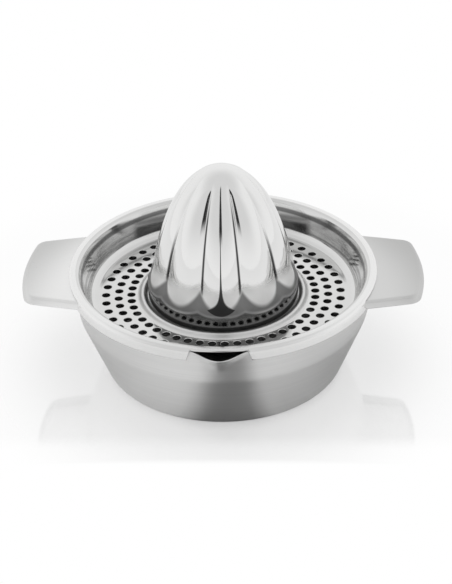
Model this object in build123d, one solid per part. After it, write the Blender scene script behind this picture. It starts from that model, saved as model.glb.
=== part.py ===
from build123d import *
import os
from math import cos, hypot, radians, sin, sqrt

# Hand citrus juicer: a drawn steel bowl with two handles, and a loose strainer dish with a fluted reaming cone.
# Millimetres, +Z up. The origin is on the table at the middle of the bowl's base.
# The spout points along -Y and the handles lie along X.

# Juice bowl, one drawn sheet
bowl_sheet = 0.8
bowl_base_radius = 58.2
bowl_base_bend = 4.5
bowl_crease_height = 32.4
bowl_crease_bend = 12.0
bowl_wall_flare = 2.3
bowl_rim_radius = 72.9
bowl_rim_height = 51.6

# Spout pressed into the front of the bowl's wall
spout_half_width = 14.0
spout_reach = 8.0
spout_lip_step = 1.4
spout_drop = 2.8
spout_depth = 12.0
spout_nose_bend = 5.0
spout_foot_half_width = 2.0
spout_foot_bend = 1.0
spout_foot_inset = 0.3

# Handles, one bent sheet each
handle_sheet = 1.0
handle_gap_under_rim = 0.7
handle_drop = 3.4
handle_lean_degrees = 25.0
handle_reach = 24.3
handle_root_half_width = 33.0
handle_end_half_width = 27.4
handle_corner_bend = 7.0
handle_edge_bend = 2.2
handle_tuck = 8.0

# Strainer dish, one drawn sheet hung on the bowl's rim
dish_sheet = 0.8
skirt_clearance = 1.3
skirt_drop = 5.7
skirt_bend = 2.0
dish_wall_clearance = 1.5
dish_lip_bend = 2.0
dish_depth = 15.8
dish_floor_clearance = 5.3
dish_floor_bend = 4.5
collar_bend = 1.0
collar_straight = 1.0
bead_gap = 2.7
bead_half_width = 2.0
bead_rise = 3.4
bead_crest_bend = 1.2
bead_outer_bend = 2.0
bead_inner_bend = 1.0
spout_notch_clearance = 0.5
spout_notch_lean = 1.2
flange_edge_margin = 0.3
handle_notch_clearance = 0.5

# Drain holes in rings on the dish floor
hole_diameter = 4.0
hole_ring_pitch = 6.2
hole_ring_margin = 3.7
hole_wall_margin = 0.5
holes_per_ring = 48
hole_phase_share = 0.29
hole_stagger_share = 0.5

# Reaming cone, one hollow pressing with rounded lobes
cone_sheet = 1.0
cone_base_radius = 36.6
cone_height = 68.5
lobes = 10
cone_fullness_power = 1.53
cone_rounding_power = 0.47
valley_depth_share = 0.075
valley_start_share = 0.10
valley_full_share = 0.26
valley_fade_share = 0.80
valley_end_share = 0.96
section_shares = (0.0, 0.03, 0.06, 0.09, 0.13, 0.18, 0.25, 0.36, 0.50, 0.64, 0.76, 0.86, 0.92, 0.96)

# Gap left at welds, and how far every cutter runs past what it cuts
weld_gap = 0.1
overrun = 3.0

# Heights and radii that follow from the sizes above
bowl_crease_radius = bowl_rim_radius - bowl_wall_flare
rim_top = bowl_rim_height + dish_sheet
floor_top = rim_top - dish_depth
floor_under = floor_top - dish_sheet
skirt_inner = bowl_rim_radius + skirt_clearance
skirt_outer = skirt_inner + dish_sheet
skirt_bottom = rim_top - skirt_drop
handle_top = bowl_rim_height - handle_gap_under_rim
handle_bottom = handle_top - handle_drop
handle_end_radius = bowl_rim_radius + handle_reach


def bowl_wall(height):
    """Outer radius of the bowl's wall at a height, below or above the crease."""
    if height < bowl_crease_height:
        return bowl_base_radius + height / bowl_crease_height * (bowl_crease_radius - bowl_base_radius)
    rise = (height - bowl_crease_height) / (bowl_rim_height - bowl_crease_height)
    return bowl_crease_radius + rise * bowl_wall_flare


def polar(radius, degrees, height):
    """Point at a radius and an angle from the front of the juicer."""
    return (radius * sin(radians(degrees)), -radius * cos(radians(degrees)), height)


def unit(start, end):
    """Unit direction from one profile point to the next."""
    length = hypot(end[0] - start[0], end[1] - start[1])
    return ((end[0] - start[0]) / length, (end[1] - start[1]) / length)


def beside(points, distance):
    """Profile moved sideways to the left of its direction, with mitred corners and its last point kept level."""
    ways = [unit(a, b) for a, b in zip(points, points[1:])]
    normals = [(-way[1], way[0]) for way in ways]
    moved = [(points[0][0] + normals[0][0] * distance, points[0][1] + normals[0][1] * distance)]
    for point, before, after in zip(points[1:-1], normals, normals[1:]):
        reach = distance / (1 + before[0] * after[0] + before[1] * after[1])
        moved.append((point[0] + reach * (before[0] + after[0]), point[1] + reach * (before[1] + after[1])))
    slide = -normals[-1][1] * distance / ways[-1][1]
    last = points[-1]
    moved.append((last[0] + normals[-1][0] * distance + slide * ways[-1][0], last[1]))
    return moved


def bends_beside(points, bends, distance):
    """Bend radii of the moved profile: smaller where it turns left, larger where it turns right."""
    ways = [unit(a, b) for a, b in zip(points, points[1:])]
    turns = [a[0] * b[1] - a[1] * b[0] for a, b in zip(ways, ways[1:])]
    return [bend - distance if turn > 0 else bend + distance for bend, turn in zip(bends, turns)]


def profile_line(points, bends):
    """Profile of straight runs and bends, drawn in the upright plane through the axis."""
    return FilletPolyline(*[(radius, 0, height) for radius, height in points], radius=bends)


def closing_line(first, second):
    """Straight line between two profile points."""
    return Line((first[0], 0, first[1]), (second[0], 0, second[1]))


def turned_sheet(points, bends, thickness):
    """Sheet turned about the axis, its thickness to the left of the profile's direction."""
    inner = beside(points, thickness)
    outline = [profile_line(points, bends), profile_line(inner, bends_beside(points, bends, thickness))]
    outline += [closing_line(points[0], inner[0]), closing_line(points[-1], inner[-1])]
    return revolve(make_face(outline), Axis.Z)


def turned_solid(points, bends):
    """Solid turned about the axis from a profile that starts on the axis."""
    top = (0, points[-1][1])
    outline = [profile_line(points, bends), closing_line(points[-1], top), closing_line(top, points[0])]
    return revolve(make_face(outline), Axis.Z)


def spout_section(half_width, chord, nose, bend, height):
    """Level section of the spout: a chord across the wall and two flanks that meet in a rounded nose."""
    outline = Polyline((-half_width, chord), (half_width, chord), (0, nose), close=True)
    face = make_face(outline)
    tip = face.vertices().sort_by(Axis.Y)[0]
    return Pos(0, 0, height) * fillet(tip, bend)


def make_bowl_body():
    """Bowl's outside as one solid, also the seat that the handles are cut to."""
    return turned_solid(bowl_profile, bowl_bends)


def make_juice_bowl():
    """Bowl hollowed to its sheet, with the spout pressed out of its wall and its lip trimmed low at the nose."""
    cavity = turned_solid(
        beside(bowl_profile, bowl_sheet), bends_beside(bowl_profile, bowl_bends, bowl_sheet)
    )
    chord = -sqrt(bowl_rim_radius**2 - spout_half_width**2)
    nose = -bowl_rim_radius - spout_reach
    foot_height = bowl_rim_height - spout_depth
    foot_nose = spout_foot_inset - bowl_wall(foot_height)
    foot_chord = foot_nose + spout_foot_half_width
    spout = loft([
        spout_section(spout_foot_half_width, foot_chord, foot_nose, spout_foot_bend, foot_height),
        spout_section(spout_half_width, chord, nose, spout_nose_bend, bowl_rim_height),
    ])
    flank = hypot(spout_half_width, chord - nose)
    channel = Pos(0, bowl_sheet * flank / spout_half_width, 0) * spout
    lip_end = bowl_rim_height - spout_lip_step
    lip_slope = (spout_drop - spout_lip_step) / (chord - nose)
    trim_front = nose - overrun
    trim_back = chord + overrun
    trim = Polyline(
        (0, trim_back, lip_end),
        (0, chord, lip_end),
        (0, trim_front, lip_end + lip_slope * (trim_front - chord)),
        (0, trim_front, bowl_rim_height + overrun),
        (0, trim_back, bowl_rim_height + overrun),
        close=True,
    )
    mouth = extrude(make_face(trim), amount=spout_half_width, dir=(1, 0, 0), both=True)
    return make_bowl_body() + spout - cavity - channel - mouth


def handle_blank(drop, inset):
    """Handle's wing as a solid with leaning sides, drawn in by an inset."""
    root = sqrt(bowl_rim_radius**2 - handle_root_half_width**2)
    end = sqrt(handle_end_radius**2 - handle_end_half_width**2)
    taper = (handle_root_half_width - handle_end_half_width) / (end - root)
    slant = sqrt(1 + taper**2)
    axis_half_width = handle_root_half_width + taper * root - inset * slant
    end_radius = handle_end_radius - inset
    corner_x = (axis_half_width * taper + sqrt((end_radius * slant) ** 2 - axis_half_width**2)) / slant**2
    corner_y = axis_half_width - taper * corner_x
    tucked_x = root - handle_tuck
    tucked_y = axis_half_width - taper * tucked_x
    outline = [
        Line((tucked_x, -tucked_y), (corner_x, -corner_y)),
        ThreePointArc((corner_x, -corner_y), (end_radius, 0), (corner_x, corner_y)),
        Line((corner_x, corner_y), (tucked_x, tucked_y)),
        Line((tucked_x, tucked_y), (tucked_x, -tucked_y)),
    ]
    plan = make_face(outline)
    plan = fillet(plan.vertices().group_by(Axis.X)[-1], handle_corner_bend - inset)
    return extrude(Pos(0, 0, handle_bottom) * plan, amount=drop, taper=handle_lean_degrees)


def make_right_handle():
    """Handle: flat top, leaning turned-down edges on its three free sides, its root cut to the bowl's wall."""
    inset = handle_sheet / cos(radians(handle_lean_degrees))
    outer = handle_blank(handle_drop, 0)
    outer = fillet(outer.faces().sort_by(Axis.Z)[-1].edges(), handle_edge_bend)
    inner = handle_blank(handle_drop - handle_sheet, inset)
    seat = offset(make_bowl_body(), amount=weld_gap)
    return outer - inner - seat


def make_strainer_dish():
    """Dish with a rolled rim, a notched skirt, rings of drain holes, and a bead and a collar at the cone's foot."""
    lip_radius = bowl_rim_radius - bowl_sheet - dish_wall_clearance - dish_sheet
    floor_radius = bowl_wall(floor_under) - bowl_sheet - dish_floor_clearance
    collar_top = floor_top + collar_bend + collar_straight
    bead_radius = cone_base_radius + bead_gap
    profile = [
        (skirt_outer, skirt_bottom),
        (skirt_outer, rim_top),
        (lip_radius, rim_top),
        (floor_radius, floor_top),
        (bead_radius + bead_half_width, floor_top),
        (bead_radius, floor_top + bead_rise),
        (bead_radius - bead_half_width, floor_top),
        (collar_radius, floor_top),
        (collar_radius, collar_top),
    ]
    bends = [
        skirt_bend, dish_lip_bend, dish_floor_bend, bead_outer_bend, bead_crest_bend, bead_inner_bend, collar_bend,
    ]
    dish = turned_sheet(profile, bends, dish_sheet)

    first_ring = bead_radius + bead_half_width + hole_ring_margin
    flat_edge = floor_radius - dish_floor_bend - hole_wall_margin
    ring_count = 1 + int((flat_edge - first_ring) / hole_ring_pitch)
    step = 360 / holes_per_ring
    drill = Cylinder(hole_diameter / 2, dish_sheet + 2 * overrun)
    drills = []
    for ring in range(ring_count):
        for hole in range(holes_per_ring):
            angle = step * (hole + hole_phase_share + hole_stagger_share * (ring % 2))
            drills.append(Pos(polar(first_ring + ring * hole_ring_pitch, angle, floor_top)) * drill)

    notch_foot = spout_half_width + spout_notch_clearance
    notch_top = notch_foot - spout_notch_lean
    notch_low = skirt_bottom - overrun
    notch_high = rim_top + overrun
    outside = skirt_outer + overrun
    spout_notch = Polyline(
        (-notch_foot, 0, notch_low), (notch_foot, 0, notch_low),
        (notch_top, 0, notch_high), (-notch_top, 0, notch_high), close=True,
    )
    spout_cut = extrude(make_face(spout_notch), amount=outside, dir=(0, -1, 0))
    core_height = notch_high - notch_low + 2 * overrun
    lift = Pos(0, 0, (notch_high + notch_low) / 2)
    spout_cut -= lift * Cylinder(bowl_rim_radius + flange_edge_margin, core_height)

    notch_half_width = handle_root_half_width + handle_notch_clearance
    handle_notch_top = handle_top + handle_notch_clearance
    notch_height = handle_notch_top - notch_low
    handle_cut = Pos(0, 0, notch_low + notch_height / 2) * Box(2 * outside, 2 * notch_half_width, notch_height)
    handle_cut -= lift * Cylinder(bowl_rim_radius, core_height)
    return dish - drills - spout_cut - handle_cut


def cone_crest(base_radius, share):
    """Crest radius at a share of the cone's height: base * (1 - share^fullness)^rounding."""
    return base_radius * (1 - share**cone_fullness_power) ** cone_rounding_power


def ease(share, start, end):
    """Smooth rise from 0 at start to 1 at end."""
    part = min(max((share - start) / (end - start), 0), 1)
    return part * part * (3 - 2 * part)


def valley_depth(share):
    """Valley depth as a share of the crest radius: nothing at the foot, full along the cone, nothing at the tip."""
    rise = ease(share, valley_start_share, valley_full_share)
    fall = 1 - ease(share, valley_fade_share, valley_end_share)
    return valley_depth_share * rise * fall


def lobed_section(base_radius, height, share):
    """Level section of the cone: one arc for each lobe, from valley to valley over its crest."""
    crest = cone_crest(base_radius, share)
    valley = crest * (1 - valley_depth(share))
    level = cone_seat + share * height
    half_step = 180 / lobes
    arcs = []
    for lobe in range(lobes):
        middle = 2 * half_step * lobe
        arcs.append(ThreePointArc(
            polar(valley, middle - half_step, level),
            polar(crest, middle, level),
            polar(valley, middle + half_step, level),
        ))
    return make_face(arcs)


def lobed_cone(base_radius, height):
    """Lobed cone from its foot to its tip, closed by a low dome."""
    body = loft([lobed_section(base_radius, height, share) for share in section_shares])
    dome_radius = cone_crest(base_radius, section_shares[-1])
    dome_foot = cone_seat + section_shares[-1] * height
    tip = cone_seat + height
    ball = (dome_radius**2 + (tip - dome_foot) ** 2) / (2 * (tip - dome_foot))
    dome = Pos(0, 0, tip - ball) * Sphere(ball)
    above = Pos(0, 0, dome_foot + ball) * Box(2 * ball, 2 * ball, 2 * ball)
    return body + (dome & above)


def make_reamer_cone():
    """Hollow cone: the lobed outside less the same shape drawn in by the sheet."""
    return lobed_cone(cone_base_radius, cone_height) - lobed_cone(
        cone_base_radius - cone_sheet, cone_height - cone_sheet
    )


bowl_profile = [
    (0, 0),
    (bowl_base_radius, 0),
    (bowl_crease_radius, bowl_crease_height),
    (bowl_rim_radius, bowl_rim_height),
]
bowl_bends = [bowl_base_bend, bowl_crease_bend]

# The collar stands inside the cone's foot, and the foot rests on the bend below it
cone_inner_radius = cone_base_radius - cone_sheet
lap_share = (collar_bend + collar_straight) / cone_height
collar_radius = cone_crest(cone_inner_radius, lap_share) - weld_gap
seat_run = collar_radius + collar_bend - cone_inner_radius
cone_seat = floor_top + collar_bend - sqrt(collar_bend**2 - seat_run**2) + weld_gap

right_handle = make_right_handle()
nodes = {
    "juice_bowl": make_juice_bowl(),
    "left_handle": mirror(right_handle, about=Plane.YZ),
    "right_handle": right_handle,
    "strainer_dish": make_strainer_dish(),
    "reamer_cone": make_reamer_cone(),
}

os.makedirs("parts", exist_ok=True)
for name, shape in nodes.items():
    export_step(shape, f"parts/{name}.step")
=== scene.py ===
"""Hand citrus juicer in satin and polished steel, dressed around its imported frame.

Sizes are millimetres. Angles are counted from the spout, which points along -Y, and grow towards +X;
the handles lie along X and +Z is up. Meshes are written in metres. Every piece is worked out by numpy
as grids of points, and its sheet has both faces and rounded edges.
"""
import logging
from dataclasses import dataclass, field
from enum import Enum
from functools import reduce

import bmesh
import bpy
import numpy as np
from mathutils import Matrix, Vector


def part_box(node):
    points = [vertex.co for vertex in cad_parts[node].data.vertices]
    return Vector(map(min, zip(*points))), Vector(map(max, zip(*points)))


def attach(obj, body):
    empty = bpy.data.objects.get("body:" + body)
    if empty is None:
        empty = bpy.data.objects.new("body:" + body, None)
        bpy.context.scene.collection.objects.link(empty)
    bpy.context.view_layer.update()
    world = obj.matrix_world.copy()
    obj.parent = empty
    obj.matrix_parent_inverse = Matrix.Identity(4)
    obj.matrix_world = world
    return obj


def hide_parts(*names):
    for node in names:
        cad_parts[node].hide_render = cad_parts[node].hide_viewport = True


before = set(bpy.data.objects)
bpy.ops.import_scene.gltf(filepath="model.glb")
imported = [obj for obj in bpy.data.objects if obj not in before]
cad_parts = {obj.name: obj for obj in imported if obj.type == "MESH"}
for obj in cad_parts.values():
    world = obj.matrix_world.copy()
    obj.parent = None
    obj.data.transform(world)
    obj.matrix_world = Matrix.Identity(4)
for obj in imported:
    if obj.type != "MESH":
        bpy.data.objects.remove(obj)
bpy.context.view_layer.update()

Array = np.ndarray
Span = tuple[float, float]
Tone = tuple[float, float, float, float]
LOG = logging.getLogger("juicer")
METRES = 0.001
IMAGE_HEIGHT = 584
SAME_LENGTH = 1e-6
LEAST_BEND_STEPS = 4
EDGE_POINTS = 7
NOISE_MIDDLE = 0.5
STEEL_WARMTH = 0.005
BLACK: Tone = (0.0, 0.0, 0.0, 1.0)
WHITE: Tone = (1.0, 1.0, 1.0, 1.0)


class Body(Enum):
    """Bodies that the pieces ride on."""

    BOWL = "bowl"
    STRAINER = "strainer"


class Slot(Enum):
    """Finishes that the record names."""

    SATIN = "satin_steel"
    POLISHED = "polished_steel"


class Side(Enum):
    """Side of the juicer that a handle stands on, with the sign of its X."""

    LEFT = -1.0
    RIGHT = 1.0


def polar(radius: Array, angle: Array, height: Array) -> Array:
    """Points at a radius and a height, at an angle from the spout.

    Args:
        radius: distances from the axis.
        angle: angles in radians from -Y towards +X.
        height: heights above the table.

    Returns:
        Points with x = r sin(a), y = -r cos(a), z = h, in one array whose last axis is 3 long.
    """
    radius, angle, height = np.broadcast_arrays(radius, angle, height)
    return np.stack([radius * np.sin(angle), -radius * np.cos(angle), height], axis=-1)


def ease(value: Array, start: float, end: float) -> Array:
    """Smooth step 3t^2 - 2t^3 from 0 at start to 1 at end."""
    part = np.clip((value - start) / (end - start), 0.0, 1.0)
    return part * part * (3.0 - 2.0 * part)


def half_turn(points: int = EDGE_POINTS) -> Array:
    """Angles inside a half circle, evenly spaced and without its ends."""
    return np.linspace(0.0, np.pi, points + 2)[1:-1]


def unit(turn: Array) -> Array:
    """Unit directions in a plane, at angles from its first axis."""
    return np.stack([np.cos(turn), np.sin(turn)], axis=1)


def woven(runs: list[Array], arcs: list[Array]) -> Array:
    """Points of straight runs with the insides of the arcs between them, in one array."""
    parts = [runs[0]]
    for arc, run in zip(arcs, runs[1:]):
        parts += [arc[1:-1], run]
    return np.concatenate(parts)


def direction(azimuth: float, elevation: float) -> Vector:
    """Unit direction at degrees from the front towards +X and degrees above the table."""
    around, above = np.radians(azimuth), np.radians(elevation)
    return Vector((np.sin(around) * np.cos(above), -np.cos(around) * np.cos(above), np.sin(above)))


def grey(level: float) -> Tone:
    """Plain grey."""
    return (level, level, level, 1.0)


def steel_tone(level: float) -> Tone:
    """Grey of steel, with a trace less blue."""
    return (level, level, level - STEEL_WARMTH, 1.0)


def frame_heights(node: str) -> Span:
    """Lowest and highest level of a CAD node, in millimetres."""
    low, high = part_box(node)
    return low.z / METRES, high.z / METRES


@dataclass(frozen=True)
class SheetLine:
    """Line of one face of a bent sheet, in the upright plane through the axis.

    Fields:
        length: distance along the line of each of its points.
        place: radius and height of each point.
        across: unit direction at each point to the left of the line, through the sheet.
    """

    length: Array
    place: Array
    across: Array

    @classmethod
    def bent(cls, corners: list[Span], bends: list[float], spacing: float,
             step: float = 0.13) -> "SheetLine":
        """Line of straight runs joined by tangent arcs.

        At a corner that turns by t, the arc of radius b starts b tan(t/2) before the corner. Its points
        lie at the arc's centre less b times the left-hand direction turned from 0 to t.

        Args:
            corners: radius and height of the line's ends and corners.
            bends: arc radius at each corner between the ends.
            spacing: largest distance between points on straight runs.
            step: turn between points on the bends, in radians.

        Returns:
            The line, with points close together on the bends.
        """
        points = np.asarray(corners, float)
        ways = np.diff(points, axis=0)
        ways /= np.linalg.norm(ways, axis=1)[:, None]
        lefts = np.stack([-ways[:, 1], ways[:, 0]], axis=1)
        bend_places, bend_lefts = [], []
        for corner, bend, before, after, left in zip(points[1:-1], bends, ways, ways[1:], lefts):
            turn = np.arctan2(before[0] * after[1] - before[1] * after[0], before @ after)
            start = corner - before * bend * np.tan(abs(turn) / 2)
            turns = turn * np.linspace(0.0, 1.0, max(LEAST_BEND_STEPS, int(abs(turn) / step)) + 1)
            turned = np.stack([left[0] * np.cos(turns) - left[1] * np.sin(turns),
                               left[0] * np.sin(turns) + left[1] * np.cos(turns)], axis=1)
            bend_places.append(start + np.sign(turn) * bend * (left - turned))
            bend_lefts.append(turned)
        ends = [points[:1], *bend_places, points[-1:]]
        places, acrosses = [], []
        for here, there, left in zip(ends, ends[1:], lefts):
            run = np.linalg.norm(there[0] - here[-1])
            parts = np.linspace(0.0, 1.0, int(np.ceil(run / spacing)) + 1)[:, None]
            places.append(here[-1] + (there[0] - here[-1]) * parts)
            acrosses.append(np.repeat(left[None], len(parts), axis=0))
        place, across = woven(places, bend_places), woven(acrosses, bend_lefts)
        steps = np.linalg.norm(np.diff(place, axis=0), axis=1)
        return cls(np.concatenate([[0.0], np.cumsum(steps)]), place, across)

    def at(self, length: Array, depth: Array) -> tuple[Array, Array]:
        """Radius and height at a length along the line and a depth to its left.

        Args:
            length: distances along the line.
            depth: distances through the sheet, to the left of the line.

        Returns:
            Radii and heights, each as large as the two arguments together.
        """
        length, depth = np.broadcast_arrays(length, depth)
        radius = np.interp(length, self.length, self.place[:, 0])
        height = np.interp(length, self.length, self.place[:, 1])
        inward = np.interp(length, self.length, self.across[:, 0])
        upward = np.interp(length, self.length, self.across[:, 1])
        size = np.hypot(inward, upward)
        return radius + depth * inward / size, height + depth * upward / size

    def stops(self, low: float, high: float) -> Array:
        """Lengths of the line's own points between two lengths, ends included."""
        inside = self.length[(self.length > low + SAME_LENGTH) & (self.length < high - SAME_LENGTH)]
        return np.concatenate([[low], inside, [high]])

    def folded(self, start: float, sheet: float, edge_points: int = EDGE_POINTS) -> tuple[Array, Array]:
        """Outline of a sheet: along this face, round its end in a half circle and back on the other face.

        Args:
            start: length where the outline starts and ends.
            sheet: thickness of the sheet.
            edge_points: points inside the half circle.

        Returns:
            Radii and heights.
        """
        half = sheet / 2
        end = self.length[-1] - half
        face = self.stops(start, end)
        turn = half_turn(edge_points)
        length = np.concatenate([face, end + half * np.sin(turn), face[::-1]])
        depth = np.concatenate([0 * face, half * (1 - np.cos(turn)), 0 * face + sheet])
        return self.at(length, depth)


@dataclass(frozen=True)
class Net:
    """Grid of points, rows by columns by 3, whose neighbours are joined by quads.

    Fields:
        points: places of the points in millimetres.
        ring: whether the last column joins the first.
        finish: number of the material on the quads after each row.
    """

    points: Array
    ring: bool = True
    finish: Array = field(default_factory=lambda: np.zeros(1, int))

    def quads(self, first: int) -> tuple[Array, Array]:
        """Corner numbers of the quads, and the material number of each.

        Args:
            first: number of the net's first point in the whole mesh.

        Returns:
            An array of four corners for each quad, and an array of material numbers.
        """
        rows, columns = self.points.shape[:2]
        here = np.arange(columns if self.ring else columns - 1)
        row = np.arange(rows - 1)[:, None] * columns + first
        beside = (here + 1) % columns
        corners = np.stack([row + here, row + beside, row + columns + beside, row + columns + here], axis=-1)
        numbers = np.broadcast_to(self.finish, rows - 1)
        return corners.reshape(-1, 4), np.repeat(numbers, len(here))


@dataclass(frozen=True)
class Piece:
    """A finished object: its nets welded into one closed skin, on its body and in place of its CAD node."""

    name: str
    body: Body
    node: str
    slot: Slot
    weld: float = 2e-6
    sharp_angle: float = 50.0

    def make(self, nets: list[Net], materials: list[bpy.types.Material]) -> bpy.types.Object:
        """Weld the nets, turn the faces outwards, dress them and hand the object to the frame.

        Args:
            nets: grids of points that together close the piece.
            materials: finishes that the nets' numbers stand for.

        Returns:
            The new object.
        """
        counts = [net.points.shape[0] * net.points.shape[1] for net in nets]
        firsts = np.concatenate([[0], np.cumsum(counts)[:-1]])
        corners, numbers = zip(*[net.quads(int(first)) for net, first in zip(nets, firsts)])
        points = np.concatenate([net.points.reshape(-1, 3) for net in nets]) * METRES
        mesh = bpy.data.meshes.new(self.name)
        mesh.from_pydata(points, [], np.concatenate(corners))
        mesh.polygons.foreach_set("material_index", np.concatenate(numbers).astype(np.int32))
        work = bmesh.new()
        work.from_mesh(mesh)
        bmesh.ops.remove_doubles(work, verts=work.verts, dist=self.weld)
        bmesh.ops.dissolve_degenerate(work, edges=work.edges, dist=self.weld)
        bmesh.ops.recalc_face_normals(work, faces=work.faces)
        open_edges = sum(not edge.is_manifold for edge in work.edges)
        work.to_mesh(mesh)
        work.free()
        mesh.shade_smooth()
        mesh.set_sharp_from_angle(angle=np.radians(self.sharp_angle))
        for material in materials:
            mesh.materials.append(material)
        piece = bpy.data.objects.new(self.name, mesh)
        bpy.context.scene.collection.objects.link(piece)
        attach(piece, self.body.value)
        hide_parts(self.node)
        LOG.info("%s: %d faces, %d open edges", self.name, len(mesh.polygons), open_edges)
        return piece


class Wire:
    """A shader value that takes part in Python sums; each sum adds a Math node."""

    def __init__(self, graph: "Graph", socket: bpy.types.NodeSocket) -> None:
        """Keep the graph and the socket."""
        self.graph = graph
        self.socket = socket

    def __add__(self, other: "Wire | float") -> "Wire":
        """Sum."""
        return self.graph.math("ADD", self, other)

    def __sub__(self, other: "Wire | float") -> "Wire":
        """Difference."""
        return self.graph.math("SUBTRACT", self, other)

    def __rsub__(self, other: float) -> "Wire":
        """Difference from a number."""
        return self.graph.math("SUBTRACT", other, self)

    def __mul__(self, other: "Wire | float") -> "Wire":
        """Product."""
        return self.graph.math("MULTIPLY", self, other)

    def __truediv__(self, other: "Wire | float") -> "Wire":
        """Quotient."""
        return self.graph.math("DIVIDE", self, other)

    def __pow__(self, other: "Wire | float") -> "Wire":
        """Power."""
        return self.graph.math("POWER", self, other)

    def __abs__(self) -> "Wire":
        """Size without its sign."""
        return self.graph.math("ABSOLUTE", self)

    def __lt__(self, other: "Wire | float") -> "Wire":
        """1 where this is less, 0 elsewhere."""
        return self.graph.math("LESS_THAN", self, other)

    __radd__ = __add__
    __rmul__ = __mul__

    def most(self, *others: "Wire | float") -> "Wire":
        """Largest of this and other values."""
        return reduce(lambda first, second: self.graph.math("MAXIMUM", first, second), others, self)

    def ramp(self, low: float, high: float, start: float = 0.0, end: float = 1.0) -> "Wire":
        """Smooth change from start, where this is low, to end, where it is high."""
        made = self.graph.node("MapRange", {"interpolation_type": "SMOOTHSTEP"}, Value=self, From_Min=low,
                               From_Max=high, To_Min=start, To_Max=end)
        return self.graph.out(made, "Result")

    def fall(self, low: float, high: float, start: float = 1.0) -> "Wire":
        """Smooth change from start, where this is low, to 0, where it is high."""
        return self.ramp(low, high, start, 0.0)


class Graph:
    """The nodes of one material or of the world."""

    def __init__(self, owner: bpy.types.Material | bpy.types.World) -> None:
        """Switch the owner to nodes and clear what it holds."""
        owner.use_nodes = True
        self.tree = owner.node_tree
        self.tree.nodes.clear()

    def node(self, kind: str, settings: dict | None = None, **sockets: object) -> bpy.types.Node:
        """Add a node.

        Args:
            kind: the node's type, without the words ShaderNode in front.
            settings: the node's own settings, set before its sockets.
            sockets: values or wires of its inputs, by name with _ for a blank, or by number as in_0.

        Returns:
            The new node.
        """
        made = self.tree.nodes.new("ShaderNode" + kind)
        for name, value in (settings or {}).items():
            setattr(made, name, value)
        for name, value in sockets.items():
            key = int(name[3:]) if name.startswith("in_") else name.replace("_", " ")
            if isinstance(value, Wire):
                self.tree.links.new(value.socket, made.inputs[key])
            else:
                made.inputs[key].default_value = value
        return made

    def out(self, made: bpy.types.Node, output: str | int = 0) -> Wire:
        """Wire from one of a node's outputs."""
        return Wire(self, made.outputs[output])

    def math(self, operation: str, first: "Wire | float", second: "Wire | float" = 0.0) -> Wire:
        """Math node on one or two values."""
        return self.out(self.node("Math", {"operation": operation}, in_0=first, in_1=second))

    def mix(self, share: "Wire | float", first: "Wire | Tone", second: "Wire | Tone") -> Wire:
        """Colour between two colours."""
        made = self.node("Mix", {"data_type": "RGBA"}, in_0=share, in_6=first, in_7=second)
        return self.out(made, 2)

    def noise(self, place: Wire, scale: float = 1.0, detail: float = 2.0) -> Wire:
        """Value of a noise between 0 and 1."""
        made = self.node("TexNoise", None, Vector=place, Scale=scale, Detail=detail)
        return self.out(made, "Fac")


@dataclass(frozen=True)
class SteelPlaces:
    """Places on the juicer's steel.

    Fields:
        graph: graph of the material.
        angle: angle from the spout.
        radius: distance from the axis.
        height: height above the table.
        y: distance towards the back.
        place: the point itself.
        streak_place: the point, stretched round the axis.
    """

    graph: Graph
    angle: Wire
    radius: Wire
    height: Wire
    y: Wire
    place: Wire
    streak_place: Wire

    @classmethod
    def of(cls, graph: Graph, along: float, around: float) -> "SteelPlaces":
        """Work out the places from Object coordinates.

        Args:
            graph: graph of the material.
            along: streaks per metre across the brushing.
            around: changes per metre along the brushing.

        Returns:
            The wires.
        """
        place = graph.out(graph.node("TexCoord"), "Object")
        parts = graph.node("SeparateXYZ", None, Vector=place)
        x, y, z = (graph.out(parts, axis) for axis in "XYZ")
        radius = graph.math("SQRT", x * x + y * y)
        stretched = graph.node("CombineXYZ", None, X=x * around, Y=y * around, Z=(radius + z) * along)
        angle = graph.math("ARCTAN2", x, 0.0 - y)
        return cls(graph, angle, radius, z, y, place, graph.out(stretched))


@dataclass(frozen=True)
class SatinSteel:
    """Satin steel brushed round the axis, with fine streaks, soft handling marks and a faint grain."""

    name: str
    shadow_tone: Tone = steel_tone(0.72)
    light_tone: Tone = steel_tone(0.88)
    roughness: float = 0.36
    streak_roughness: float = 0.10
    mark_roughness: float = 0.06
    mark_scale: float = 45.0
    anisotropy: float = 0.85
    brushing_turn: float = 0.25
    broad_share: float = 0.4
    broad_scale: float = 0.16
    along: float = 2600.0
    around: float = 18.0
    grain_height: float = 0.00002
    grain_strength: float = 0.35

    def material(self) -> bpy.types.Material:
        """Build the material."""
        made = bpy.data.materials.new(self.name)
        graph = Graph(made)
        steel = SteelPlaces.of(graph, self.along, self.around)
        fine = graph.noise(steel.streak_place, detail=3.0)
        broad = graph.noise(steel.streak_place, self.broad_scale)
        marks = graph.noise(steel.place, self.mark_scale, detail=3.0)
        streak = fine * (1.0 - self.broad_share) + broad * self.broad_share
        rough = self.roughness + (streak - NOISE_MIDDLE) * self.streak_roughness
        rough = rough + (marks - NOISE_MIDDLE) * self.mark_roughness
        bump = graph.node("Bump", None, Strength=self.grain_strength, Distance=self.grain_height, Height=fine)
        shader = graph.node(
            "BsdfPrincipled", None, Base_Color=self.tone(steel, streak), Metallic=1.0, Roughness=rough,
            Anisotropic=self.anisotropy, Anisotropic_Rotation=self.brushing_turn, Normal=graph.out(bump),
        )
        graph.node("OutputMaterial", None, Surface=graph.out(shader))
        return made

    def tone(self, steel: SteelPlaces, streak: Wire) -> Wire:
        """Colour of the steel, paler in the streaks."""
        return steel.graph.mix(streak, self.shadow_tone, self.light_tone)


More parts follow.
